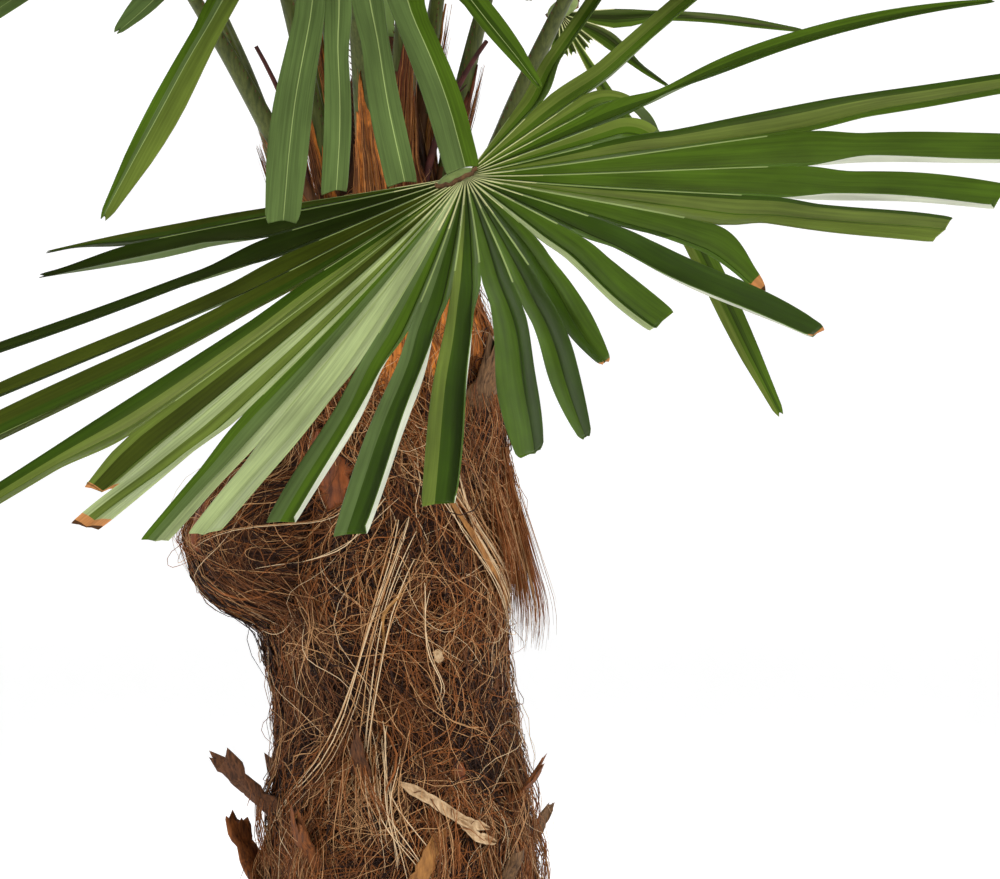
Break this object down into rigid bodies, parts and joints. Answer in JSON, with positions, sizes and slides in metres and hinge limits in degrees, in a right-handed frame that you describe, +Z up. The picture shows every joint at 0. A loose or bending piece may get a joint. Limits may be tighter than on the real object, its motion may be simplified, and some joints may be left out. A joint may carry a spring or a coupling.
{
  "type": "potted windmill palm",
  "caption": "Windmill palm in a plain round pot: a thick fibre-clad trunk with cut leaf bases carries stiff stalks with pleated, deeply split fan leaves all round.",
  "frame": {"origin": "middle of the pot's flat underside, on the surface that it stands on", "axes": "+Z up along the trunk; -Y towards the side that the picture shows; +X to the right in the picture"},
  "size_m": [1.4008, 1.5913, 1.8339],
  "materials": {
    "pot": "matt anthracite nursery plastic, moulded, lightly scuffed",
    "soil": "dark, crumbly potting soil",
    "trunk_fibre": "stem wrapped in matted brown hair-like fibre",
    "young_leaf": "folded new leaf, satin pale green",
    "leaf_stalk": "hard olive green leaf stalk, satin",
    "leaf_blade": "leathery green blade, satin above and greyer beneath",
    "leaf_base": "dry, cut leaf base, rough",
    "loose_fibre": "loose tan fibre hair",
    "flower_stalk": "thin dried red-brown stalk"
  },
  "bodies": {
    "root": {"pot": "pot", "potting_soil": "soil", "trunk": "trunk_fibre", "spear_leaf": "young_leaf", "frond_01_stalk": "leaf_stalk", "frond_01_fan": "leaf_blade", "frond_02_stalk": "leaf_stalk", "frond_02_fan": "leaf_blade", "frond_03_stalk": "leaf_stalk", "frond_03_fan": "leaf_blade", "frond_04_stalk": "leaf_stalk", "frond_04_fan": "leaf_blade", "frond_05_stalk": "leaf_stalk", "frond_05_fan": "leaf_blade", "frond_06_stalk": "leaf_stalk", "frond_06_fan": "leaf_blade", "frond_07_stalk": "leaf_stalk", "frond_07_fan": "leaf_blade", "frond_08_stalk": "leaf_stalk", "frond_08_fan": "leaf_blade", "frond_09_stalk": "leaf_stalk", "frond_09_fan": "leaf_blade", "frond_10_stalk": "leaf_stalk", "frond_10_fan": "leaf_blade", "frond_11_stalk": "leaf_stalk", "frond_11_fan": "leaf_blade", "frond_12_stalk": "leaf_stalk", "frond_12_fan": "leaf_blade", "frond_13_stalk": "leaf_stalk", "frond_13_fan": "leaf_blade", "frond_14_stalk": "leaf_stalk", "frond_14_fan": "leaf_blade", "leaf_base_01": "leaf_base", "leaf_base_02": "leaf_base", "leaf_base_03": "leaf_base", "leaf_base_04": "leaf_base", "leaf_base_05": "leaf_base", "leaf_base_06": "leaf_base", "leaf_base_07": "leaf_base", "leaf_base_08": "leaf_base", "leaf_base_09": "leaf_base", "leaf_base_10": "leaf_base", "leaf_base_11": "leaf_base", "leaf_base_12": "leaf_base", "leaf_base_13": "leaf_base", "leaf_base_14": "leaf_base", "leaf_base_15": "leaf_base", "leaf_base_16": "leaf_base", "leaf_base_17": "leaf_base", "leaf_base_18": "leaf_base", "leaf_base_19": "leaf_base", "fibre_lock_01": "loose_fibre", "fibre_lock_02": "loose_fibre", "fibre_lock_03": "loose_fibre", "fibre_lock_04": "loose_fibre", "flower_stalk_01": "flower_stalk", "flower_stalk_02": "flower_stalk", "flower_stalk_03": "flower_stalk"}
  },
  "joints": []
}
